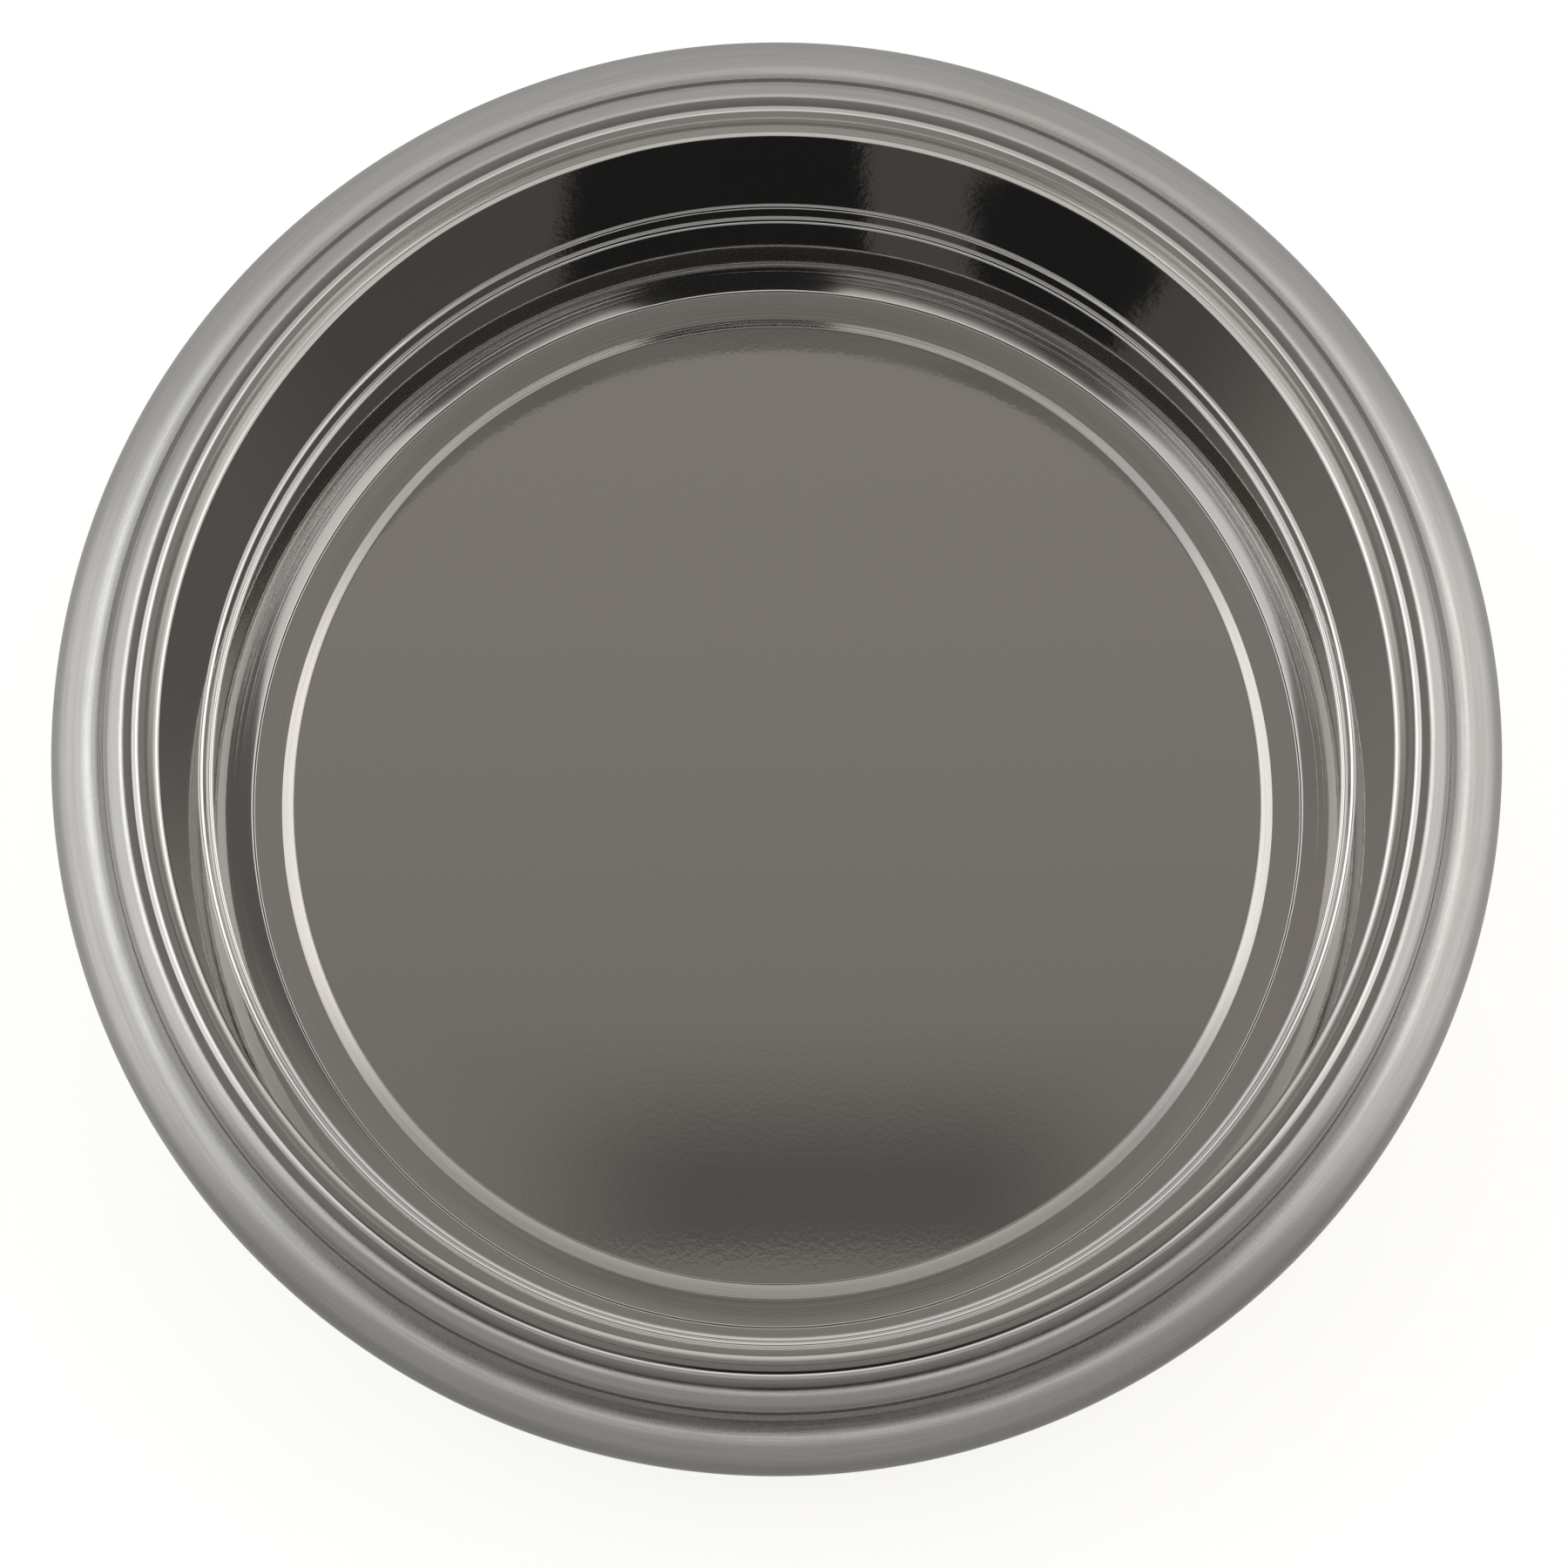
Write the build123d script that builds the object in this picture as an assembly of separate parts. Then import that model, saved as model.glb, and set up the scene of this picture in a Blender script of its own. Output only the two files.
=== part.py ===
"""Round double-walled steel parts dish with a magnet under its floor. Millimetres, +Z up,
origin at the centre of the surface that the dish stands on."""

import os
from math import cos, radians, sin, sqrt, tan

from build123d import *

# ---- driving dimensions -------------------------------------------------------------------
OVERALL_DIAMETER = 150.0
OVERALL_HEIGHT = 65.0
DISH_SHEET = 0.8
SHELL_SHEET = 0.7
SEAM_RADIUS = 65.46  # where the dish's rim meets the shell's top edge

# inner dish, depths are measured down from the top of the rim
RIM_CREST_RADIUS = 64.13
RIM_LAND = 0.53
RIM_BEAD_DROP = 0.30
LIP_DEPTH = 3.2
WALL_DRAFT = 3.9
WALL_TOP_RADIUS = 62.95
STEP_TOP_DEPTH = 23.6
UPPER_LEDGE = 0.30
LOWER_LEDGE = 0.42
LEDGE_SLOPE = 20.0
LEDGE_ROUNDING = 0.12
STEP_FOOT_ROUNDING = 0.25
BAND_HEIGHT = 3.15
CORNER_RADIUS = 59.0
CORNER_DEPTH = 49.92
CORNER_ROUNDING = 0.2
CHANNEL_SLOPE = 2.5
CHANNEL_BEND_RADIUS = 57.0
MOAT_RADIUS = 55.82
MOAT_DEPTH = 50.1
RING_RADIUS = 54.26
RING_ROUNDING = 0.15
FLOOR_DEPTH = 47.45

# outer shell
SHELL_EDGE_RADIUS = 66.17
SHELL_EDGE_DEPTH = 0.15
GROOVE_RADIUS = 68.95
GROOVE_DEPTH = 3.95
COLLAR_START = 5.0  # the collar falls away at this angle and curves down to the steeper one
COLLAR_END = 80.0
SHOULDER_START_RADIUS = 69.5
SHOULDER_START_DEPTH = 3.70
SHOULDER_RADIUS = 5.7
BODY_CURVE_RADIUS = 228.0
BASE_CORNER_RADIUS = 12.0
FLANGE_HOLE_RADIUS = 43.0

# base plate and foot ring
BASE_PLATE_THICKNESS = 1.0
BASE_PLATE_RADIUS = 59.0
BASE_LIP_THICKNESS = 0.8
BASE_LIP_HEIGHT = 0.9
BASE_BEAD_RADIUS = 26.0
BASE_BEAD_WIDTH = 8.0
BASE_BEAD_HEIGHT = 1.2
FOOT_HEIGHT = 1.8
FOOT_INNER_RADIUS = 51.6
FOOT_ROUNDING = 0.6

# magnet and its fixing
MAGNET_RADIUS = 36.0
MAGNET_HOLE_RADIUS = 16.0
MAGNET_THICKNESS = 6.0
PAD_THICKNESS = 0.5
POT_SHEET = 1.5
POT_GAP = 0.5
POT_ROUNDING = 1.4
BUSH_RADIUS = 15.8
BUSH_BORE_RADIUS = 3.6
BUSH_WALL = 1.5
BUSH_POCKET_WIDTH = 7.0
STUD_RADIUS = 2.5
STUD_HEAD_RADIUS = 3.25
STUD_HEAD_THICKNESS = 0.8
STUD_LENGTH = 13.4
STUD_CLEARANCE = 0.25
WASHER_RADIUS = 4.6
WASHER_THICKNESS = 1.2
WASHER_SLOT = 1.0
NUT_ACROSS_FLATS = 8.0
NUT_HEIGHT = 4.0

# screws that hold the base plate
SCREW_COUNT = 4
SCREW_CIRCLE_RADIUS = 47.6
SCREW_RADIUS = 1.5
SCREW_LENGTH = 5.0
SCREW_HEAD_RADIUS = 2.8
SCREW_HEAD_HEIGHT = 1.3
SCREW_HEAD_ROUNDING = 0.7
SCREW_RECESS_WIDTH = 0.8
SCREW_RECESS_LENGTH = 3.2
SCREW_RECESS_DEPTH = 0.8
WELD_NUT_ACROSS_FLATS = 5.5
WELD_NUT_HEIGHT = 2.4
SCREW_HOLE_RADIUS = 1.7
THREAD_CLEARANCE = 0.05

# ---- levels worked out from them ----------------------------------------------------------
TOP = OVERALL_HEIGHT
BEYOND = 5.0  # how far cutting shapes run past what they cut
BASE_BOTTOM = FOOT_HEIGHT
FLANGE_BOTTOM = BASE_BOTTOM + BASE_PLATE_THICKNESS
FLANGE_TOP = FLANGE_BOTTOM + SHELL_SHEET
FLOOR_UNDERSIDE = TOP - FLOOR_DEPTH - DISH_SHEET
MAGNET_TOP = FLOOR_UNDERSIDE - PAD_THICKNESS
POT_FLOOR_TOP = MAGNET_TOP - MAGNET_THICKNESS
POT_FLOOR_BOTTOM = POT_FLOOR_TOP - POT_SHEET
WASHER_BOTTOM = POT_FLOOR_BOTTOM - WASHER_THICKNESS


def turned(profile):
    """A solid of revolution about Z from a face drawn with x as radius and y as height."""
    return revolve(Plane.XZ * profile, axis=Axis.Z)


def ring(inner_radius, outer_radius, bottom, height):
    """A flat ring, or a disc when the inner radius is 0."""
    solid = Pos(0, 0, bottom) * Cylinder(outer_radius, height, align=(Align.CENTER, Align.CENTER, Align.MIN))
    if inner_radius > 0:
        hole = Cylinder(inner_radius, height + 2 * BEYOND, align=(Align.CENTER, Align.CENTER, Align.MIN))
        solid -= Pos(0, 0, bottom - BEYOND) * hole
    return solid


def hex_nut(across_flats, height, bore_radius):
    """A hexagon nut standing on z = 0, with both ends chamfered round."""
    corner_radius = across_flats / 2 / cos(radians(30))
    prism = extrude(RegularPolygon(corner_radius, 6), height)
    crown = Cylinder(corner_radius, height, align=(Align.CENTER, Align.CENTER, Align.MIN))
    crown = chamfer(crown.edges().filter_by(GeomType.CIRCLE), (corner_radius - across_flats / 2) * 0.9)
    bore = Cylinder(bore_radius, 4 * height)
    return (prism & crown) - bore


def around(count, radius, shape):
    """The same shape at equal steps round the axis."""
    return Compound(children=[location * shape for location in PolarLocations(radius, count)])


def rounded(face, corner, radius):
    """The face with the corner at that point filleted."""
    vertex = face.vertices().sort_by_distance(Vector(*corner))[0]
    return fillet(vertex, radius)


def below(radius, height):
    """A rectangle of that radius whose top edge is at that height, reaching past the base."""
    return Pos(0, height) * Rectangle(radius, 2 * TOP, align=(Align.MIN, Align.MAX))


def dish_hollow():
    """The face that fills the dish: its lower boundary is the polished surface."""
    draft = radians(WALL_DRAFT)
    ledge = tan(radians(LEDGE_SLOPE))
    channel = radians(CHANNEL_SLOPE)
    lip_bottom = (WALL_TOP_RADIUS, TOP - LIP_DEPTH)
    step_top = (WALL_TOP_RADIUS - (STEP_TOP_DEPTH - LIP_DEPTH) * tan(draft), TOP - STEP_TOP_DEPTH)
    band_top = (step_top[0] - UPPER_LEDGE, step_top[1] - UPPER_LEDGE * ledge)
    band_bottom = (band_top[0] - BAND_HEIGHT * tan(draft), band_top[1] - BAND_HEIGHT)
    step_bottom = (band_bottom[0] - LOWER_LEDGE, band_bottom[1] - LOWER_LEDGE * ledge)
    corner = (CORNER_RADIUS, TOP - CORNER_DEPTH)
    moat = (MOAT_RADIUS, TOP - MOAT_DEPTH)
    bend = (CHANNEL_BEND_RADIUS, moat[1] + (CHANNEL_BEND_RADIUS - MOAT_RADIUS) * tan(channel))
    floor_level = TOP - FLOOR_DEPTH
    floor_end = (RING_RADIUS, floor_level)
    land_inner = (RIM_CREST_RADIUS, TOP)
    land_outer = (RIM_CREST_RADIUS + RIM_LAND, TOP)
    bead_end = (SEAM_RADIUS, TOP - RIM_BEAD_DROP)
    above = TOP + BEYOND
    hollow = make_face(
        [
            Polyline((0, floor_level), floor_end, moat, bend),
            TangentArc(bend, corner, tangent=(cos(channel), sin(channel))),
            Polyline(corner, step_bottom, band_bottom, band_top, step_top, lip_bottom),
            TangentArc(lip_bottom, land_inner, tangent=(sin(draft), cos(draft))),
            Line(land_inner, land_outer),
            TangentArc(land_outer, bead_end, tangent=(1, 0)),
            Polyline(bead_end, (SEAM_RADIUS, above), (0, above), (0, floor_level)),
        ]
    )
    hollow = rounded(hollow, floor_end, RING_ROUNDING)
    hollow = rounded(hollow, corner, CORNER_ROUNDING)
    hollow = rounded(hollow, step_bottom, STEP_FOOT_ROUNDING)
    for bend_point in (band_bottom, band_top, step_top):
        hollow = rounded(hollow, bend_point, LEDGE_ROUNDING)
    return hollow


def inner_dish():
    """Polished pressing: raised floor, drafted wall with a narrow double step, and a turned-out rim."""
    hollow = dish_hollow()
    sheet = offset(hollow, DISH_SHEET) - hollow
    return turned(sheet & below(SEAM_RADIUS, TOP))


def shell_outside():
    """The face that the outer shell encloses, from its flat bottom to its top edge."""
    seam = (SEAM_RADIUS, TOP - RIM_BEAD_DROP)
    edge = (SHELL_EDGE_RADIUS, TOP - SHELL_EDGE_DEPTH)
    groove = (GROOVE_RADIUS, TOP - GROOVE_DEPTH)
    start = (SHOULDER_START_RADIUS, TOP - SHOULDER_START_DEPTH)
    # the collar is an arc between its two slopes, and runs on straight into the groove
    first, last = radians(COLLAR_START), radians(COLLAR_END)
    across, down = groove[0] - edge[0], edge[1] - groove[1]
    arc_across = sin(last) - sin(first)
    arc_down = cos(first) - cos(last)
    collar_radius = (across * tan(last) - down) / (arc_across * tan(last) - arc_down)
    collar_end = (edge[0] + collar_radius * arc_across, edge[1] - collar_radius * arc_down)
    # the shoulder is an arc that starts at the groove and ends upright at the widest radius
    widest = OVERALL_DIAMETER / 2
    shoulder_x = widest - SHOULDER_RADIUS
    shoulder_y = start[1] - sqrt(SHOULDER_RADIUS**2 - (start[0] - shoulder_x) ** 2)
    equator = (widest, shoulder_y)
    # the body's large arc hangs from the equator and runs smoothly into the base corner
    body_x = widest - BODY_CURVE_RADIUS
    corner_y = FLANGE_BOTTOM + BASE_CORNER_RADIUS
    reach = BODY_CURVE_RADIUS - BASE_CORNER_RADIUS
    corner_x = body_x + sqrt(reach**2 - (shoulder_y - corner_y) ** 2)
    grow = BODY_CURVE_RADIUS / reach
    corner_start = (body_x + (corner_x - body_x) * grow, shoulder_y + (corner_y - shoulder_y) * grow)
    return make_face(
        [
            Line(seam, edge),
            TangentArc(edge, collar_end, tangent=(cos(first), -sin(first))),
            Polyline(collar_end, groove, start),
            RadiusArc(start, equator, SHOULDER_RADIUS),
            TangentArc(equator, corner_start, tangent=(0, -1)),
            RadiusArc(corner_start, (corner_x, FLANGE_BOTTOM), BASE_CORNER_RADIUS),
            Polyline((corner_x, FLANGE_BOTTOM), (0, FLANGE_BOTTOM), (0, seam[1]), seam),
        ]
    )


def outer_shell():
    """Satin outer skin: collar, rolled groove, round shoulder, body and bottom flange."""
    outside = shell_outside()
    sheet = outside - offset(outside, -SHELL_SHEET)
    mouth = Pos(0, TOP) * Rectangle(SEAM_RADIUS, BEYOND, align=(Align.MIN, Align.MAX))
    flange_hole = Rectangle(FLANGE_HOLE_RADIUS, TOP, align=(Align.MIN, Align.MIN))
    shell = turned(sheet - mouth - flange_hole)
    return shell - around(SCREW_COUNT, SCREW_CIRCLE_RADIUS, Cylinder(SCREW_HOLE_RADIUS, 2 * TOP))


def base_plate():
    """Pressed disc that closes the shell, with a stiffening bead and a lip that holds the foot ring."""
    inside = BASE_PLATE_RADIUS - BASE_LIP_THICKNESS
    disc = ring(0, BASE_PLATE_RADIUS, BASE_BOTTOM, BASE_PLATE_THICKNESS)
    lip = ring(inside, BASE_PLATE_RADIUS, BASE_BOTTOM - BASE_LIP_HEIGHT, BASE_LIP_HEIGHT)
    bead_arc = ThreePointArc(
        (BASE_BEAD_RADIUS - BASE_BEAD_WIDTH / 2, 0),
        (BASE_BEAD_RADIUS, BASE_BEAD_HEIGHT),
        (BASE_BEAD_RADIUS + BASE_BEAD_WIDTH / 2, 0),
    )
    bead = make_face([bead_arc, Line(bead_arc @ 1, bead_arc @ 0)])
    plate = disc + lip + turned(Pos(0, FLANGE_BOTTOM) * bead) - turned(Pos(0, BASE_BOTTOM) * bead)
    return plate - around(SCREW_COUNT, SCREW_CIRCLE_RADIUS, Cylinder(SCREW_HOLE_RADIUS, 2 * TOP))


def foot_ring():
    """Rubber ring that the dish stands on, inside the base plate's lip."""
    outer_radius = BASE_PLATE_RADIUS - BASE_LIP_THICKNESS
    foot = ring(FOOT_INNER_RADIUS, outer_radius, 0, FOOT_HEIGHT)
    standing_edges = foot.edges().filter_by(GeomType.CIRCLE).group_by(Axis.Z)[0]
    return fillet(standing_edges, FOOT_ROUNDING)


def magnet_pot():
    """Steel cup round the magnet, open upwards, which turns its pull towards the floor."""
    inner_radius = MAGNET_RADIUS + POT_GAP
    outer_radius = inner_radius + POT_SHEET
    cup = ring(0, outer_radius, POT_FLOOR_BOTTOM, MAGNET_TOP - POT_FLOOR_BOTTOM)
    cup = fillet(cup.edges().filter_by(GeomType.CIRCLE).group_by(Axis.Z)[0], POT_ROUNDING)
    cup -= ring(0, inner_radius, POT_FLOOR_TOP, TOP)
    return cup - Cylinder(STUD_RADIUS + STUD_CLEARANCE, 2 * TOP)


def centring_bush():
    """Plastic bush in the magnet's hole, recessed on top round the stud's head."""
    bush = ring(BUSH_BORE_RADIUS, BUSH_RADIUS, POT_FLOOR_TOP, MAGNET_THICKNESS)
    pocket_outer = BUSH_RADIUS - BUSH_WALL
    pocket = ring(pocket_outer - BUSH_POCKET_WIDTH, pocket_outer, POT_FLOOR_TOP + BUSH_WALL, TOP)
    return bush - pocket


def weld_stud():
    """Stud welded under the floor: a thin head and a plain shank for the thread."""
    head = ring(0, STUD_HEAD_RADIUS, FLOOR_UNDERSIDE - STUD_HEAD_THICKNESS, STUD_HEAD_THICKNESS)
    shank = ring(0, STUD_RADIUS, FLOOR_UNDERSIDE - STUD_LENGTH, STUD_LENGTH)
    shank = chamfer(shank.edges().filter_by(GeomType.CIRCLE).group_by(Axis.Z)[0], STUD_RADIUS / 5)
    return head + shank


def spring_washer():
    """Split washer between the pot and the nut."""
    washer = ring(STUD_RADIUS + THREAD_CLEARANCE, WASHER_RADIUS, WASHER_BOTTOM, WASHER_THICKNESS)
    slot = Pos(WASHER_RADIUS / 2 + STUD_RADIUS / 2, 0, WASHER_BOTTOM) * Rot(30, 0, 0) * Box(
        WASHER_RADIUS, WASHER_SLOT, 4 * WASHER_THICKNESS
    )
    return washer - slot


def base_screw():
    """Cross-recessed pan-head screw with its head's seat at z = 0 and its shank upwards."""
    head = ring(0, SCREW_HEAD_RADIUS, -SCREW_HEAD_HEIGHT, SCREW_HEAD_HEIGHT)
    head = fillet(head.edges().filter_by(GeomType.CIRCLE).group_by(Axis.Z)[0], SCREW_HEAD_ROUNDING)
    shank = ring(0, SCREW_RADIUS, 0, SCREW_LENGTH)
    shank = chamfer(shank.edges().filter_by(GeomType.CIRCLE).group_by(Axis.Z)[-1], SCREW_RADIUS / 4)
    cross = Box(SCREW_RECESS_LENGTH, SCREW_RECESS_WIDTH, 2 * SCREW_RECESS_DEPTH)
    cross += Box(SCREW_RECESS_WIDTH, SCREW_RECESS_LENGTH, 2 * SCREW_RECESS_DEPTH)
    return head + shank - Pos(0, 0, -SCREW_HEAD_HEIGHT) * cross


def write_part(name, shape):
    shape.label = name
    export_step(shape, f"parts/{name}.step")


os.makedirs("parts", exist_ok=True)
write_part("inner_dish", inner_dish())
write_part("outer_shell", outer_shell())
pad_radius = MAGNET_RADIUS + POT_GAP + POT_SHEET
write_part("magnet_pad", ring(MAGNET_HOLE_RADIUS, pad_radius, MAGNET_TOP, PAD_THICKNESS))
write_part("ring_magnet", ring(MAGNET_HOLE_RADIUS, MAGNET_RADIUS, POT_FLOOR_TOP, MAGNET_THICKNESS))
write_part("magnet_pot", magnet_pot())
write_part("centring_bush", centring_bush())
write_part("weld_stud", weld_stud())
write_part("spring_washer", spring_washer())
nut = hex_nut(NUT_ACROSS_FLATS, NUT_HEIGHT, STUD_RADIUS + THREAD_CLEARANCE)
write_part("stud_nut", Pos(0, 0, WASHER_BOTTOM - NUT_HEIGHT) * nut)
weld_nut = hex_nut(WELD_NUT_ACROSS_FLATS, WELD_NUT_HEIGHT, SCREW_RADIUS + THREAD_CLEARANCE)
write_part("weld_nuts", around(SCREW_COUNT, SCREW_CIRCLE_RADIUS, Pos(0, 0, FLANGE_TOP) * weld_nut))
write_part("base_screws", around(SCREW_COUNT, SCREW_CIRCLE_RADIUS, Pos(0, 0, BASE_BOTTOM) * base_screw()))
write_part("base_plate", base_plate())
write_part("foot_ring", foot_ring())
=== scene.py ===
"""Looks for the round steel parts dish: smooth turned skins, steel materials, studio and camera."""

from math import atan2, cos, hypot, pi, radians, sin, sqrt, tan

import bpy
import numpy as np
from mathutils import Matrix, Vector


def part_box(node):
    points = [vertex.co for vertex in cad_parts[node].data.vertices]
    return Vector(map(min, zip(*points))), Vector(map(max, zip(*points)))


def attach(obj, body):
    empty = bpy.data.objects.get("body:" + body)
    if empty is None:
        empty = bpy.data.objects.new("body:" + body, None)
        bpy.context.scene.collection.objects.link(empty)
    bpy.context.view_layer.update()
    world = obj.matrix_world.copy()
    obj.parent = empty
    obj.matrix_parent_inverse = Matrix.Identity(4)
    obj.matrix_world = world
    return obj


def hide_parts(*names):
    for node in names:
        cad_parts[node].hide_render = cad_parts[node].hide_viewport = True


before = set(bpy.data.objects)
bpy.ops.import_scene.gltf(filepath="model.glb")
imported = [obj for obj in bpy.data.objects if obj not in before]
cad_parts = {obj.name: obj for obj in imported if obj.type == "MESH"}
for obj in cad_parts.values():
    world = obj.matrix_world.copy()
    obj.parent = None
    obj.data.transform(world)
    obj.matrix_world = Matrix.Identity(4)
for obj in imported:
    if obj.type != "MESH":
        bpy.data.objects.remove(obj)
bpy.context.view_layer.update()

MM = 0.001

# ---- sizes in millimetres, the same driving dimensions as the CAD model --------------------
shell_low, shell_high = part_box("outer_shell")
_, dish_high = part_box("inner_dish")
TOP = dish_high.z / MM
WIDEST_RADIUS = shell_high.x / MM
SEAM_RADIUS = dish_high.x / MM
FLANGE_BOTTOM = shell_low.z / MM
DISH_SHEET = 0.8
SHELL_SHEET = 0.7

RIM_CREST_RADIUS = 64.13
RIM_LAND = 0.53
RIM_BEAD_DROP = 0.30
LIP_DEPTH = 3.2
WALL_DRAFT = radians(3.9)
WALL_TOP_RADIUS = 62.95
STEP_TOP_DEPTH = 23.6
UPPER_LEDGE = 0.30
LOWER_LEDGE = 0.42
LEDGE_SLOPE = radians(20)
LEDGE_ROUNDING = 0.12
STEP_FOOT_ROUNDING = 0.25
BAND_HEIGHT = 3.15
CORNER_RADIUS = 59.0
CORNER_DEPTH = 49.92
CORNER_ROUNDING = 0.2
CHANNEL_SLOPE = radians(2.5)
CHANNEL_END_SLOPE = radians(5)
CHANNEL_BEND_RADIUS = 57.0
MOAT_RADIUS = 55.82
MOAT_DEPTH = 50.1
RING_RADIUS = 54.26
RING_ROUNDING = 0.15
FLOOR_DEPTH = 47.45
FLOOR_FLAT_RADIUS = 53.0  # the floor's even rows of faces end here

SHELL_EDGE_RADIUS = 66.17
SHELL_EDGE_DEPTH = 0.15
GROOVE_RADIUS = 68.95
GROOVE_DEPTH = 3.95
COLLAR_START = radians(5)  # the collar falls away at this angle and ends at the steeper one
COLLAR_END = radians(80)
SHOULDER_START_RADIUS = 69.5
SHOULDER_START_DEPTH = 3.70
SHOULDER_RADIUS = 5.7
BODY_CURVE_RADIUS = 228.0
BASE_CORNER_RADIUS = 12.0
FLANGE_HOLE_RADIUS = 43.0
SCREW_CIRCLE_RADIUS = 47.6
SCREW_HOLE_RADIUS = 1.7
SCREW_COUNT = 4

TURNS = 384  # faces round the axis of a turned skin
CREASE = radians(24)  # edges sharper than this stay crisp
SUPPORT = 0.12  # how close to its ends a flat run is held flat


# ---- outlines: lists of (radius, height), drawn point after point ---------------------------
def straight(start, end, steps=1):
    """Points after start along a line, up to and with its end."""
    start, end = np.array(start, float), np.array(end, float)
    return [tuple(start + (end - start) * k / steps) for k in range(1, steps + 1)]


def flat_run(start, end):
    """Points after start along a line that stays flat when shaded: two sit just inside its ends."""
    start, end = np.array(start, float), np.array(end, float)
    inside = (end - start) * SUPPORT / hypot(*(end - start))
    return [tuple(start + inside), tuple(end - inside), tuple(end)]


def curved(start, end, heading, steps):
    """Points after start along the arc that leaves it in that direction and reaches the end."""
    start, end = np.array(start, float), np.array(end, float)
    along = np.array(heading, float) / hypot(*heading)
    left = np.array([-along[1], along[0]])
    reach = end - start
    radius = reach @ reach / (2 * reach @ left)
    turn = 2 * atan2(reach @ left, reach @ along)
    centre = start + left * radius
    points = []
    for k in range(1, steps + 1):
        angle = turn * k / steps
        spoke = start - centre
        x = spoke[0] * cos(angle) - spoke[1] * sin(angle)
        y = spoke[0] * sin(angle) + spoke[1] * cos(angle)
        points.append((centre[0] + x, centre[1] + y))
    return points


def rounded(before, corner, after, radius, steps=6):
    """Points of a fillet at a corner between two straight runs."""
    corner = np.array(corner, float)
    back = np.array(before, float) - corner
    ahead = np.array(after, float) - corner
    back /= hypot(*back)
    ahead /= hypot(*ahead)
    half = np.arccos(back @ ahead) / 2
    setback = radius / tan(half)
    first, last = corner + back * setback, corner + ahead * setback
    return [tuple(first)] + curved(first, last, -back, steps)


def behind(outline, thickness):
    """The outline moved a sheet's thickness to its right, without the loops at tight bends."""
    points = np.array(outline)
    run = np.gradient(points, axis=0)
    run /= np.linalg.norm(run, axis=1)[:, None]
    moved = points + np.stack([run[:, 1], -run[:, 0]], axis=1) * thickness
    gap = np.linalg.norm(moved[:, None] - points[None], axis=2).min(axis=1)
    return [tuple(p) for p in moved[gap > thickness * 0.985]]


def dish_surface():
    """The polished side of the inner dish, from the centre of its floor out to the seam."""
    lip_bottom = (WALL_TOP_RADIUS, TOP - LIP_DEPTH)
    wall_run = (STEP_TOP_DEPTH - LIP_DEPTH) * tan(WALL_DRAFT)
    step_top = (WALL_TOP_RADIUS - wall_run, TOP - STEP_TOP_DEPTH)
    band_top = (step_top[0] - UPPER_LEDGE, step_top[1] - UPPER_LEDGE * tan(LEDGE_SLOPE))
    band_bottom = (band_top[0] - BAND_HEIGHT * tan(WALL_DRAFT), band_top[1] - BAND_HEIGHT)
    step_bottom = (band_bottom[0] - LOWER_LEDGE, band_bottom[1] - LOWER_LEDGE * tan(LEDGE_SLOPE))
    corner = (CORNER_RADIUS, TOP - CORNER_DEPTH)
    corner_side = (corner[0] - cos(CHANNEL_END_SLOPE), corner[1] - sin(CHANNEL_END_SLOPE))
    corner_round = rounded(corner_side, corner, step_bottom, CORNER_ROUNDING)
    step_round = rounded(corner, step_bottom, band_bottom, STEP_FOOT_ROUNDING)
    band_round = rounded(step_bottom, band_bottom, band_top, LEDGE_ROUNDING)
    top_round = rounded(band_bottom, band_top, step_top, LEDGE_ROUNDING)
    wall_round = rounded(band_top, step_top, lip_bottom, LEDGE_ROUNDING)
    moat = (MOAT_RADIUS, TOP - MOAT_DEPTH)
    bend = (CHANNEL_BEND_RADIUS, moat[1] + (CHANNEL_BEND_RADIUS - MOAT_RADIUS) * tan(CHANNEL_SLOPE))
    channel = curved(bend, corner_round[0], (cos(CHANNEL_SLOPE), sin(CHANNEL_SLOPE)), 10)
    ring = (RING_RADIUS, TOP - FLOOR_DEPTH)
    floor_flat = (FLOOR_FLAT_RADIUS, TOP - FLOOR_DEPTH)
    centre = (0, floor_flat[1])
    ring_round = rounded(floor_flat, ring, moat, RING_ROUNDING)
    land_inner = (RIM_CREST_RADIUS, TOP)
    land_outer = (RIM_CREST_RADIUS + RIM_LAND, TOP)
    bead_end = (SEAM_RADIUS, TOP - RIM_BEAD_DROP)
    return (
        [centre]
        + straight(centre, floor_flat, 12)
        + flat_run(floor_flat, ring_round[0])
        + ring_round[1:]
        + flat_run(ring_round[-1], moat)
        + flat_run(moat, bend)
        + channel
        + corner_round[1:]
        + flat_run(corner_round[-1], step_round[0])
        + step_round[1:]
        + flat_run(step_round[-1], band_round[0])
        + band_round[1:]
        + flat_run(band_round[-1], top_round[0])
        + top_round[1:]
        + wall_round
        + flat_run(wall_round[-1], lip_bottom)
        + curved(lip_bottom, land_inner, (sin(WALL_DRAFT), cos(WALL_DRAFT)), 12)
        + straight(land_inner, land_outer)
        + curved(land_outer, bead_end, (1, 0), 6)
    )


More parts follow.
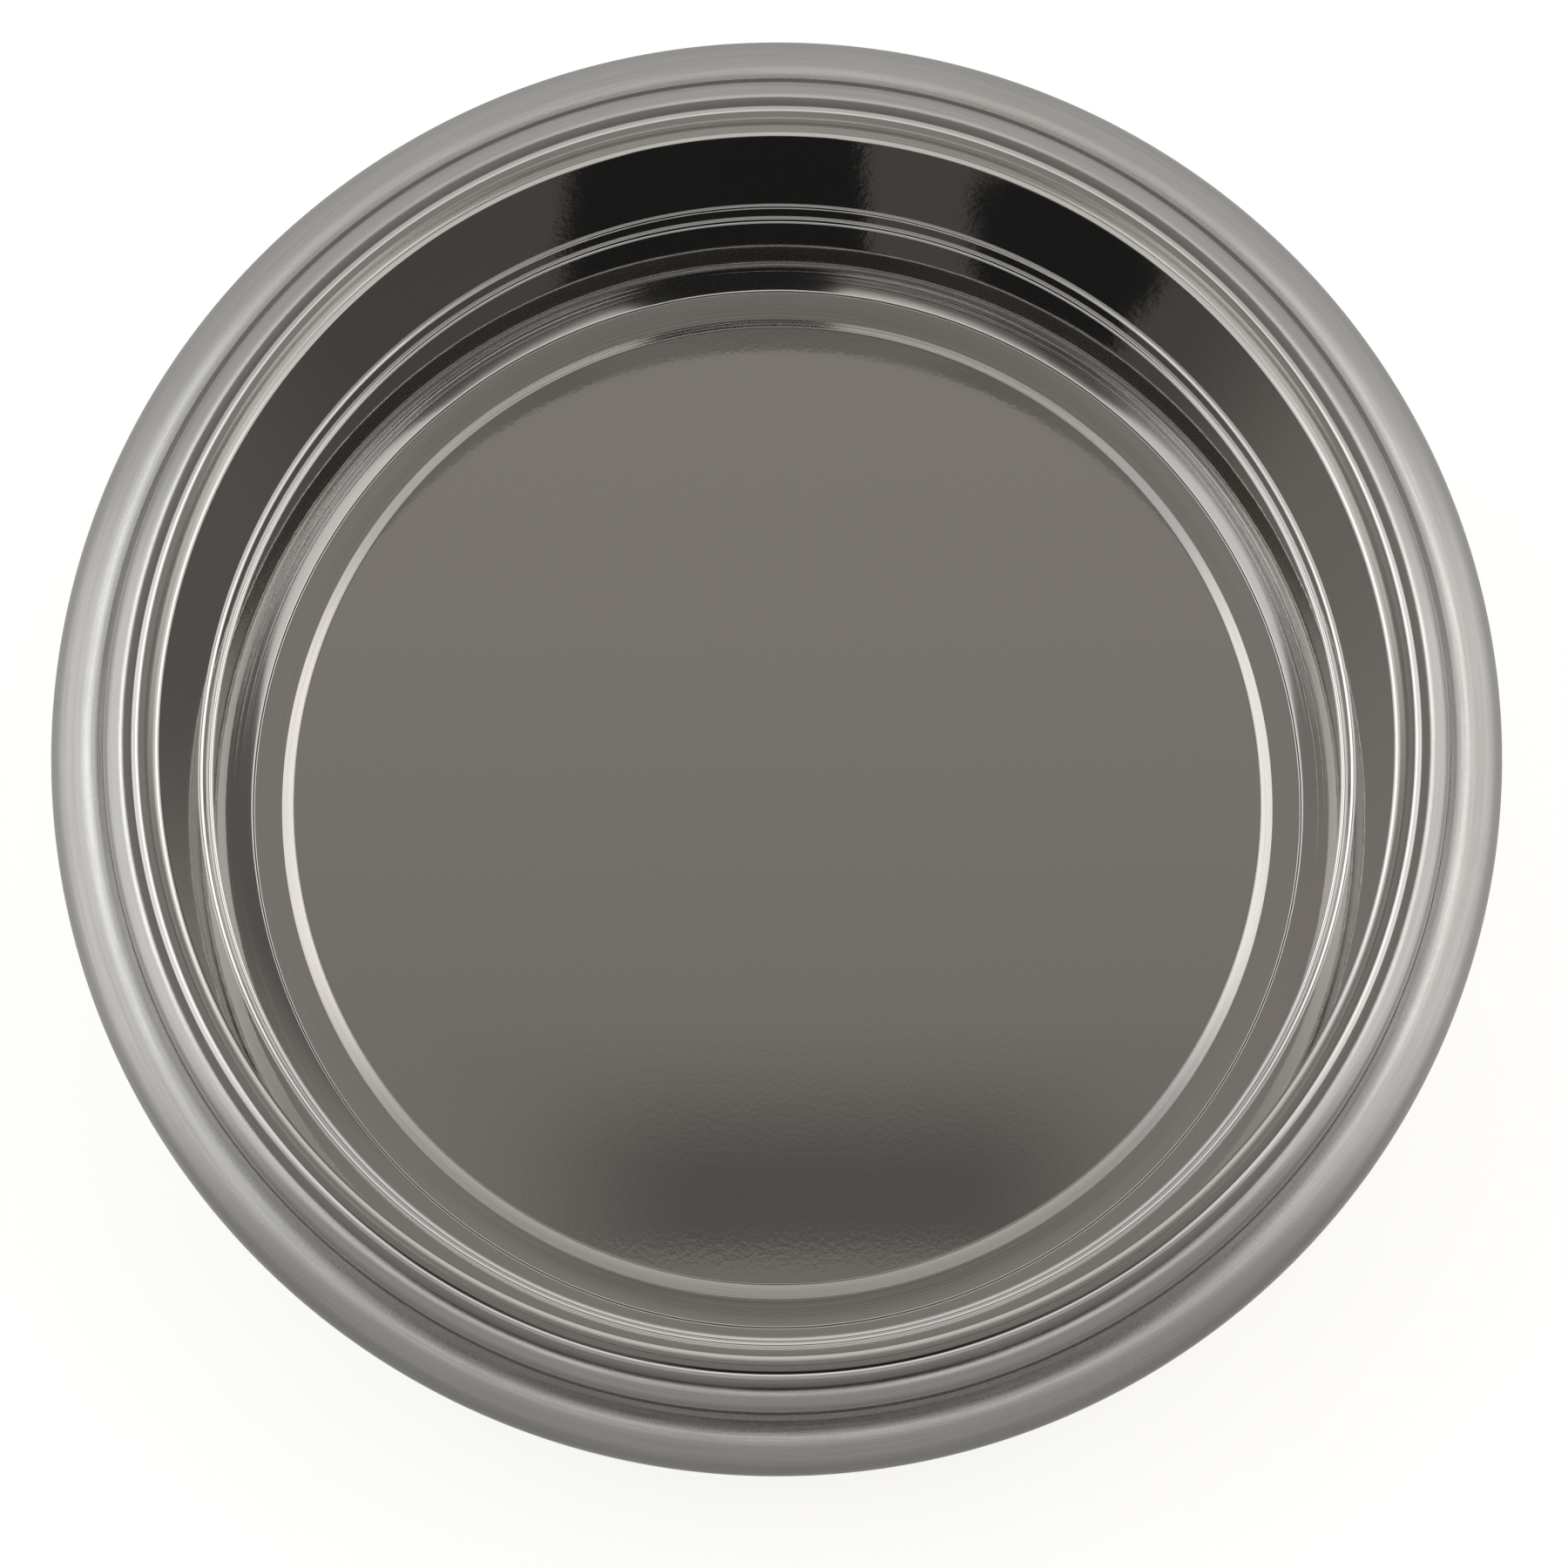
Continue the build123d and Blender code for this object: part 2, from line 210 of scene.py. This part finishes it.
def shell_surface():
    """The satin side of the outer shell, from the seam over the shoulder down to the flange's hole."""
    seam = (SEAM_RADIUS, TOP - RIM_BEAD_DROP)
    edge = (SHELL_EDGE_RADIUS, TOP - SHELL_EDGE_DEPTH)
    groove = (GROOVE_RADIUS, TOP - GROOVE_DEPTH)
    start = (SHOULDER_START_RADIUS, TOP - SHOULDER_START_DEPTH)
    across, down = groove[0] - edge[0], edge[1] - groove[1]
    arc_across = sin(COLLAR_END) - sin(COLLAR_START)
    arc_down = cos(COLLAR_START) - cos(COLLAR_END)
    collar_radius = (across * tan(COLLAR_END) - down) / (arc_across * tan(COLLAR_END) - arc_down)
    collar_end = (edge[0] + collar_radius * arc_across, edge[1] - collar_radius * arc_down)
    centre_x = WIDEST_RADIUS - SHOULDER_RADIUS
    lean = start[0] - centre_x
    rise = sqrt(SHOULDER_RADIUS**2 - lean**2)
    equator = (WIDEST_RADIUS, start[1] - rise)
    body_x = WIDEST_RADIUS - BODY_CURVE_RADIUS
    corner_y = FLANGE_BOTTOM + BASE_CORNER_RADIUS
    reach = BODY_CURVE_RADIUS - BASE_CORNER_RADIUS
    corner_x = body_x + sqrt(reach**2 - (equator[1] - corner_y) ** 2)
    grow = BODY_CURVE_RADIUS / reach
    corner_start = (body_x + (corner_x - body_x) * grow, equator[1] + (corner_y - equator[1]) * grow)
    corner_heading = (corner_start[1] - equator[1], body_x - corner_start[0])
    return (
        [seam]
        + straight(seam, edge)
        + curved(edge, collar_end, (cos(COLLAR_START), -sin(COLLAR_START)), 12)
        + straight(collar_end, groove, 2)
        + straight(groove, start)
        + curved(start, equator, (rise, -lean), 24)
        + curved(equator, corner_start, (0, -1), 24)
        + curved(corner_start, (corner_x, FLANGE_BOTTOM), corner_heading, 14)
        + straight((corner_x, FLANGE_BOTTOM), (FLANGE_HOLE_RADIUS, FLANGE_BOTTOM), 3)
    )


def turned(name, outline, closed):
    """A mesh turned about Z from an outline in millimetres. Points on the axis become one vertex."""
    vertices, faces, rings = [], [], []
    for radius, height in outline:
        if radius < 1e-6:
            rings.append([len(vertices)] * TURNS)
            vertices.append((0, 0, height * MM))
            continue
        rings.append(list(range(len(vertices), len(vertices) + TURNS)))
        for k in range(TURNS):
            angle = 2 * pi * k / TURNS
            vertices.append((radius * cos(angle) * MM, radius * sin(angle) * MM, height * MM))
    pairs = list(zip(rings, rings[1:]))
    if closed:
        pairs.append((rings[-1], rings[0]))
    for low, high in pairs:
        for k in range(TURNS):
            n = (k + 1) % TURNS
            corners = [low[k], high[k], high[n], low[n]]
            faces.append(list(dict.fromkeys(corners)))
    mesh = bpy.data.meshes.new(name)
    mesh.from_pydata(vertices, [], faces)
    mesh.validate()
    mesh.shade_smooth()
    mesh.set_sharp_from_angle(angle=CREASE)
    obj = bpy.data.objects.new(name, mesh)
    bpy.context.scene.collection.objects.link(obj)
    return obj


def sheet_piece(name, surface, thickness):
    """A closed sheet-metal skin: its visible side, an upright edge at the seam, and its back."""
    back = behind(surface, thickness)
    seam_first = surface[0][0] > surface[-1][0]
    seam = surface[0] if seam_first else surface[-1]
    edge = (SEAM_RADIUS, seam[1] - thickness)
    if seam_first:
        back = [p for p in back if p[0] > SEAM_RADIUS or p[1] < edge[1]]
        return turned(name, surface + back[::-1] + [edge], closed=True)
    back = [p for p in back if p[0] < SEAM_RADIUS]
    return turned(name, surface + [edge] + back[::-1], closed=False)


def drilled(obj, radius, circle_radius, count):
    """Cuts upright holes through the piece where the screws pass."""
    for k in range(count):
        angle = 2 * pi * k / count
        across, along = circle_radius * cos(angle), circle_radius * sin(angle)
        bpy.ops.mesh.primitive_cylinder_add(
            vertices=48,
            radius=radius * MM,
            depth=4 * MM,
            location=(across * MM, along * MM, FLANGE_BOTTOM * MM),
        )
        drill = bpy.context.object
        cut = obj.modifiers.new("screw_hole", "BOOLEAN")
        cut.operation = "DIFFERENCE"
        cut.object = drill
        bpy.context.view_layer.objects.active = obj
        bpy.ops.object.modifier_apply(modifier=cut.name)
        bpy.data.objects.remove(drill)
    obj.data.set_sharp_from_angle(angle=CREASE)


# ---- node trees -----------------------------------------------------------------------------
class Nodes:
    """Short helpers that build a node tree."""

    def __init__(self, tree):
        self.tree = tree

    def add(self, kind, inputs=None, **settings):
        made = self.tree.nodes.new(kind)
        for key, value in settings.items():
            setattr(made, key, value)
        for key, value in (inputs or {}).items():
            if isinstance(value, bpy.types.NodeSocket):
                self.tree.links.new(value, made.inputs[key])
            else:
                made.inputs[key].default_value = value
        return made

    def math(self, operation, a, b=0.0, c=0.0):
        return self.add("ShaderNodeMath", {0: a, 1: b, 2: c}, operation=operation).outputs[0]

    def vector(self, operation, a, **inputs):
        return self.add("ShaderNodeVectorMath", {0: a, **inputs}, operation=operation).outputs[0]

    def ramp(self, value, start, end, low=0.0, high=1.0):
        """A smooth step from low to high as the value goes from start to end."""
        inputs = {"Value": value, "From Min": start, "From Max": end, "To Min": low, "To Max": high}
        return self.add("ShaderNodeMapRange", inputs, interpolation_type="SMOOTHSTEP").outputs[0]

    def both(self, a, b):
        return self.math("MULTIPLY", a, b)

    def link(self, output, node, socket):
        self.tree.links.new(output, self.tree.nodes[node].inputs[socket])


# ---- materials ------------------------------------------------------------------------------
class Look(Nodes):
    """A procedural metal, rubber or plastic material that knows its place round the axis."""

    def __init__(self, name, colour, metallic, roughness):
        self.material = bpy.data.materials.new(name)
        self.material.use_nodes = True
        super().__init__(self.material.node_tree)
        self.shader = self.tree.nodes["Principled BSDF"]
        self.shader.inputs["Base Color"].default_value = (*colour, 1)
        self.shader.inputs["Metallic"].default_value = metallic
        self.shader.inputs["Roughness"].default_value = roughness
        self.colour = colour
        self.bumps = None
        place = self.add("ShaderNodeTexCoord").outputs["Object"]
        self.place = self.vector("SCALE", place, Scale=1 / MM)
        parts = self.add("ShaderNodeSeparateXYZ", {0: self.place})
        self.x, self.y, self.height = parts.outputs
        flat = self.add("ShaderNodeCombineXYZ", {"X": self.x, "Y": self.y}).outputs[0]
        self.radius = self.add("ShaderNodeVectorMath", {0: flat}, operation="LENGTH").outputs["Value"]

    def band(self, value, start, end, soft):
        """1 between start and end, falling to 0 over the soft distance outside them."""
        return self.both(self.ramp(value, start - soft, start), self.ramp(value, end + soft, end))

    def noise(self, where, scale, detail, roughness):
        inputs = {"Vector": where, "Scale": scale, "Detail": detail, "Roughness": roughness}
        return self.add("ShaderNodeTexNoise", inputs).outputs["Fac"]

    def stretched(self, x, y, z):
        """Object coordinates multiplied along each axis, for noise with a direction."""
        return self.vector("MULTIPLY", self.place, **{"Vector_001": (x, y, z)})

    def turning(self, along_radius, along_angle, along_height):
        """Coordinates that run with the turned surface, without a seam: stretched round the axis."""
        unit = self.both(self.math("DIVIDE", 1.0, self.math("MAXIMUM", self.radius, 0.1)), along_angle)
        down = self.both(self.radius, along_radius)
        inputs = {
            "X": self.both(self.x, unit),
            "Y": self.both(self.y, unit),
            "Z": self.math("SUBTRACT", self.both(self.height, along_height), down),
        }
        return self.add("ShaderNodeCombineXYZ", inputs).outputs[0]

    def bump(self, height, depth, mask=None):
        """Adds relief: height from 0 to 1 over a depth in millimetres, where the mask is 1."""
        if mask is not None:
            height = self.both(self.math("SUBTRACT", height, 0.5), mask)
        inputs = {"Height": height, "Distance": depth * MM, "Strength": 1.0}
        if self.bumps is not None:
            inputs["Normal"] = self.bumps
        self.bumps = self.add("ShaderNodeBump", inputs).outputs[0]
        self.tree.links.new(self.bumps, self.shader.inputs["Normal"])

    def tint(self, factor, other):
        """Mixes the base colour towards another colour by a factor from 0 to 1."""
        inputs = {"Factor": factor, "A": (*self.colour, 1), "B": (*other, 1)}
        mix = self.add("ShaderNodeMix", inputs, data_type="RGBA")
        self.tree.links.new(mix.outputs["Result"], self.shader.inputs["Base Color"])

    def roughness(self, value):
        self.tree.links.new(value, self.shader.inputs["Roughness"])


def polished_steel():
    """Bright drawn steel of the dish: mirror wall, spun lines beside the ring, mottled floor."""
    look = Look("polished_steel", (0.765, 0.755, 0.74), 1.0, 0.1)
    moat_height = TOP - MOAT_DEPTH
    lip_height = TOP - LIP_DEPTH
    on_floor = look.ramp(look.radius, RING_RADIUS, RING_RADIUS - 0.6)
    off_floor = look.math("SUBTRACT", 1.0, on_floor)
    on_ring = look.band(look.radius, RING_RADIUS, MOAT_RADIUS, 0.3)
    in_channel = look.both(
        look.band(look.radius, MOAT_RADIUS, CORNER_RADIUS, 0.2),
        look.ramp(look.height, moat_height + 1.4, moat_height + 0.8),
    )
    beside_ring = look.both(in_channel, look.ramp(look.radius, MOAT_RADIUS + 2.2, MOAT_RADIUS + 1.0))
    on_wall = look.ramp(look.radius, CORNER_RADIUS - 0.5, CORNER_RADIUS + 0.3)
    on_rim = look.ramp(look.height, lip_height - 0.4, lip_height + 0.4)

    smudges = look.noise(look.stretched(0.05, 0.05, 0.05), 1.0, 4.0, 0.6)
    rough = look.ramp(smudges, 0.3, 0.8, 0.02, 0.045)
    for mask, amount in ((on_floor, 0.012), (on_ring, 0.04), (in_channel, 0.05), (on_rim, 0.05)):
        rough = look.math("ADD", rough, look.both(mask, amount))
    look.roughness(rough)

    streaks = look.noise(look.turning(3.0, 1.2, 3.0), 1.0, 3.0, 0.7)
    look.tint(look.both(look.ramp(streaks, 0.45, 0.85, 0.0, 0.4), off_floor), (0.66, 0.645, 0.625))

    mottling = look.noise(look.place, 1.6, 3.0, 0.65)
    spun_lines = look.noise(look.turning(5.0, 0.4, 0.0), 1.0, 2.0, 0.8)
    drawn_waves = look.noise(look.turning(0.0, 9.0, 0.15), 1.0, 1.0, 0.5)
    ripple = look.noise(look.place, 0.7, 2.0, 0.6)
    look.bump(mottling, 0.0035, on_floor)
    look.bump(spun_lines, 0.012, beside_ring)
    look.bump(drawn_waves, 0.004, on_wall)
    look.bump(ripple, 0.0015, on_wall)
    return look.material


def satin_steel():
    """Ground steel of the outer shell: lines round the body, a short fine grain, a glossier collar."""
    look = Look("satin_steel", (0.60, 0.592, 0.58), 1.0, 0.28)
    on_collar = look.both(
        look.ramp(look.radius, GROOVE_RADIUS + 0.4, GROOVE_RADIUS - 0.4),
        look.ramp(look.height, TOP - 8.0, TOP - 6.0),
    )
    grain = look.noise(look.turning(1.2, 190.0, 1.2), 1.0, 3.0, 0.65)
    clouds = look.noise(look.stretched(0.08, 0.08, 0.08), 1.0, 4.0, 0.6)
    lines = look.noise(look.turning(1.6, 2.5, 1.6), 1.0, 5.0, 0.75)

    rough = look.math("ADD", look.ramp(clouds, 0.3, 0.75, 0.24, 0.28), look.both(grain, 0.08))
    rough = look.math("ADD", rough, look.ramp(lines, 0.4, 0.65, -0.03, 0.04))
    look.roughness(look.math("SUBTRACT", rough, look.both(on_collar, 0.08)))

    cloud_tint = look.ramp(clouds, 0.35, 0.8, 0.0, 0.25)
    line_tint = look.ramp(lines, 0.42, 0.66, 0.0, 0.7)
    look.tint(look.math("ADD", cloud_tint, line_tint), (0.515, 0.507, 0.495))

    look.bump(grain, 0.006)
    look.bump(lines, 0.012)
    look.bump(look.noise(look.place, 3.0, 3.0, 0.7), 0.003)
    return look.material


def plated_steel():
    """Zinc-plated steel of the fixings and the magnet's pot."""
    look = Look("plated_steel", (0.62, 0.63, 0.66), 1.0, 0.3)
    blotches = look.noise(look.place, 0.35, 4.0, 0.6)
    look.roughness(look.ramp(blotches, 0.3, 0.7, 0.22, 0.42))
    look.tint(look.ramp(blotches, 0.45, 0.75, 0.0, 0.6), (0.55, 0.53, 0.42))
    look.bump(look.noise(look.turning(5.0, 2.0, 5.0), 1.0, 2.0, 0.6), 0.004)
    return look.material


def base_steel():
    """Cold-rolled plate with a straight rolling grain and faint press marks."""
    look = Look("base_steel", (0.56, 0.555, 0.55), 1.0, 0.35)
    grain = look.noise(look.stretched(0.3, 9.0, 9.0), 1.0, 3.0, 0.7)
    patches = look.noise(look.place, 0.06, 3.0, 0.5)
    look.roughness(look.math("ADD", look.both(grain, 0.12), look.ramp(patches, 0.3, 0.7, 0.24, 0.34)))
    look.tint(look.ramp(grain, 0.4, 0.8, 0.0, 0.5), (0.44, 0.435, 0.43))
    look.bump(grain, 0.004)
    return look.material


def ferrite():
    """Ground ceramic magnet: near-black, finely speckled."""
    look = Look("ferrite", (0.035, 0.035, 0.037), 0.0, 0.55)
    speckle = look.noise(look.place, 4.0, 4.0, 0.7)
    look.roughness(look.ramp(speckle, 0.3, 0.7, 0.42, 0.65))
    look.tint(look.ramp(speckle, 0.5, 0.75), (0.075, 0.075, 0.08))
    look.bump(speckle, 0.02)
    return look.material


def rubber(name, colour, worn):
    """Matt moulded rubber with a fine texture and paler rubbed patches."""
    look = Look(name, colour, 0.0, 0.7)
    texture = look.noise(look.place, 5.0, 3.0, 0.6)
    patches = look.noise(look.place, 0.15, 3.0, 0.6)
    look.roughness(look.ramp(patches, 0.3, 0.7, 0.6, 0.8))
    look.tint(look.ramp(patches, 0.45, 0.75, 0.0, 0.7), worn)
    look.bump(texture, 0.02)
    return look.material


def bush_plastic():
    """Natural nylon, slightly cloudy."""
    look = Look("bush_plastic", (0.72, 0.69, 0.62), 0.0, 0.45)
    look.shader.inputs["Subsurface Weight"].default_value = 0.15
    look.shader.inputs["Subsurface Radius"].default_value = (0.002, 0.0016, 0.0012)
    clouds = look.noise(look.place, 0.3, 3.0, 0.6)
    look.roughness(look.ramp(clouds, 0.3, 0.7, 0.38, 0.52))
    look.tint(look.ramp(clouds, 0.4, 0.8, 0.0, 0.6), (0.66, 0.61, 0.52))
    look.bump(look.noise(look.place, 2.5, 2.0, 0.5), 0.008)
    return look.material


# ---- the pieces -----------------------------------------------------------------------------
dish = sheet_piece("dish_skin", dish_surface(), DISH_SHEET)
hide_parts("inner_dish")
shell = sheet_piece("shell_skin", shell_surface(), SHELL_SHEET)
drilled(shell, SCREW_HOLE_RADIUS, SCREW_CIRCLE_RADIUS, SCREW_COUNT)
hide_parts("outer_shell")

looks = {
    "polished_steel": polished_steel(),
    "satin_steel": satin_steel(),
    "plated_steel": plated_steel(),
    "base_steel": base_steel(),
    "ferrite": ferrite(),
    "pad_rubber": rubber("pad_rubber", (0.03, 0.03, 0.032), (0.05, 0.05, 0.052)),
    "foot_rubber": rubber("foot_rubber", (0.022, 0.022, 0.023), (0.06, 0.058, 0.055)),
    "bush_plastic": bush_plastic(),
}
for piece, slot in ((dish, "polished_steel"), (shell, "satin_steel")):
    piece.data.materials.append(looks[slot])
    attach(piece, "root")

kept_nodes = {
    "magnet_pad": "pad_rubber",
    "ring_magnet": "ferrite",
    "magnet_pot": "plated_steel",
    "centring_bush": "bush_plastic",
    "weld_stud": "plated_steel",
    "spring_washer": "plated_steel",
    "stud_nut": "plated_steel",
    "weld_nuts": "plated_steel",
    "base_screws": "plated_steel",
    "base_plate": "base_steel",
    "foot_ring": "foot_rubber",
}
for name, slot in kept_nodes.items():
    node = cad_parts[name]
    node.data.materials.clear()
    node.data.materials.append(looks[slot])


# ---- studio, in metres ----------------------------------------------------------------------
RIM_HEIGHT = dish_high.z
CAMERA_PLACE = Vector((0.0, -0.0725, RIM_HEIGHT + 0.4356))
CAMERA_AIM = Vector((0.0007, -0.00577, RIM_HEIGHT))
FLOOR_REACH = 4.0
LIGHT_HEIGHT = 0.56
FADE_START = 0.3  # share of the way from a fading card's middle at which the fade begins
WARM, NEUTRAL, COOL = (1.0, 0.985, 0.965), (1.0, 1.0, 1.0), (0.985, 0.995, 1.0)
# where the sky changes, as the upward share of a direction
BAND_START, BAND_END = sin(radians(40)), sin(radians(44))
CEILING_START, CEILING_END = sin(radians(57.5)), sin(radians(60.5))


def glowing(name, colour, strength, diffuse=None):
    """An emissive material, over a diffuse one where a colour for that is given."""
    material = bpy.data.materials.new(name)
    material.use_nodes = True
    shader = material.node_tree.nodes["Principled BSDF"]
    shader.inputs["Base Color"].default_value = (*(diffuse or (0, 0, 0)), 1)
    shader.inputs["Roughness"].default_value = 1.0
    shader.inputs["Specular IOR Level"].default_value = 0.0
    shader.inputs["Emission Color"].default_value = (*colour, 1)
    shader.inputs["Emission Strength"].default_value = strength
    return material


def fading(name, colour, near, far, middle, spread):
    """An emissive material whose strength fades from near to far, away from a middle on its card."""
    material = glowing(name, colour, near)
    nodes = Nodes(material.node_tree)
    place = nodes.add("ShaderNodeTexCoord").outputs["UV"]
    shift = nodes.vector("SUBTRACT", place, Vector_001=(*middle, 0.0))
    away = nodes.vector("MULTIPLY", shift, Vector_001=(*spread, 0.0))
    parts = nodes.add("ShaderNodeSeparateXYZ", {0: nodes.vector("ABSOLUTE", away)})
    across = nodes.ramp(parts.outputs["X"], FADE_START, 1.0, near - far, 0.0)
    along = nodes.ramp(parts.outputs["Y"], FADE_START, 1.0, 1.0, 0.0)
    nodes.link(nodes.math("MULTIPLY_ADD", across, along, far), "Principled BSDF", "Emission Strength")
    return material


def card(name, low, high, height, material):
    """A level card between two corners (x, y), seen in reflections but not by the camera."""
    corners = [(low[0], low[1]), (low[0], high[1]), (high[0], high[1]), (high[0], low[1])]
    mesh = bpy.data.meshes.new(name)
    mesh.from_pydata([(x, y, height) for x, y in corners], [], [(0, 1, 2, 3)])
    for loop, uv in zip(mesh.uv_layers.new().data, ((0, 0), (0, 1), (1, 1), (1, 0))):
        loop.uv = uv
    mesh.materials.append(material)
    obj = bpy.data.objects.new(name, mesh)
    bpy.context.scene.collection.objects.link(obj)
    obj.visible_camera = False
    return obj


# white to the camera, and left out of the steel's reflections
floor_paper = glowing("floor_paper", NEUTRAL, 0.52, diffuse=(0.92, 0.92, 0.92))
floor = card("studio_floor", (-FLOOR_REACH, -FLOOR_REACH), (FLOOR_REACH, FLOOR_REACH), 0.0, floor_paper)
floor.visible_camera = True
floor.visible_glossy = False

left_glow = fading("left_glow", COOL, 1.9, 0.85, middle=(0.4, 0.5), spread=(2.6, 2.0))
right_glow = fading("right_glow", WARM, 1.85, 0.85, middle=(0.6, 0.5), spread=(2.6, 2.0))
card("left_light", (-0.55, -0.22), (-0.21, 0.42), LIGHT_HEIGHT, left_glow)
card("right_light", (0.21, -0.22), (0.55, 0.42), LIGHT_HEIGHT, right_glow)

# dark cards at the height of the camera, which the far wall and the floor reflect
black = glowing("black_card", NEUTRAL, 0.015)
shade = fading("camera_shade", (1.0, 0.945, 0.88), 0.1, 0.2, middle=(0.5, 0.0), spread=(2.0, 1.0))
card("front_card", (-0.042, -0.28), (0.088, -0.095), CAMERA_PLACE.z, black)
card("side_card", (-0.150, -0.152), (-0.085, -0.080), CAMERA_PLACE.z, black)
card("camera_card", (-0.075, -0.0289), (0.095, 0.020), CAMERA_PLACE.z, shade)


def sky():
    """Soft layers: a horizon bright at the sides, an even bright band, and a dark ceiling."""
    world = bpy.data.worlds.new("studio")
    world.use_nodes = True
    bpy.context.scene.world = world
    nodes = Nodes(world.node_tree)
    direction = nodes.add("ShaderNodeTexCoord").outputs["Generated"]
    parts = nodes.add("ShaderNodeSeparateXYZ", {0: direction})

    def mixed(axis, start, end, near, far):
        """Colour from near to far as the direction's share of an axis goes from start to end."""
        inputs = {"Factor": nodes.ramp(parts.outputs[axis], start, end)}
        for name, colour in (("A", near), ("B", far)):
            inputs[name] = (*colour, 1) if isinstance(colour, tuple) else colour
        return nodes.add("ShaderNodeMix", inputs, data_type="RGBA").outputs["Result"]

    # from the sides to the back, and then to the front
    horizon = mixed("Y", 0.3, 0.6, (0.93, 0.915, 0.89), (0.55, 0.54, 0.525))
    horizon = mixed("Y", -0.25, -0.6, horizon, (0.38, 0.373, 0.365))
    below = mixed("Y", -0.1, -0.5, (0.46, 0.455, 0.445), (0.27, 0.266, 0.26))
    horizon = mixed("Z", 0.0, -0.45, horizon, below)
    walls = mixed("Z", BAND_START, BAND_END, horizon, (0.81, 0.79, 0.76))
    # from the back to the middle, darker to the right, and darkest at the front
    ceiling = mixed("Y", 0.25, 0.0, (0.25, 0.232, 0.216), (0.192, 0.18, 0.168))
    ceiling = mixed("X", 0.12, 0.3, ceiling, (0.12, 0.115, 0.11))
    ceiling = mixed("Y", 0.0, -0.2, ceiling, (0.085, 0.08, 0.076))
    colour = mixed("Z", CEILING_START, CEILING_END, walls, ceiling)
    nodes.link(colour, "Background", "Color")


sky()

lens = bpy.data.cameras.new("camera")
lens.lens = 100.0
lens.sensor_width = 36.0
lens.clip_start = 0.01
lens.clip_end = 20.0
camera = bpy.data.objects.new("camera", lens)
camera.location = CAMERA_PLACE
camera.rotation_euler = (CAMERA_AIM - CAMERA_PLACE).to_track_quat("-Z", "Y").to_euler()
bpy.context.scene.collection.objects.link(camera)
bpy.context.scene.camera = camera
bpy.context.scene.view_settings.view_transform = "Standard"
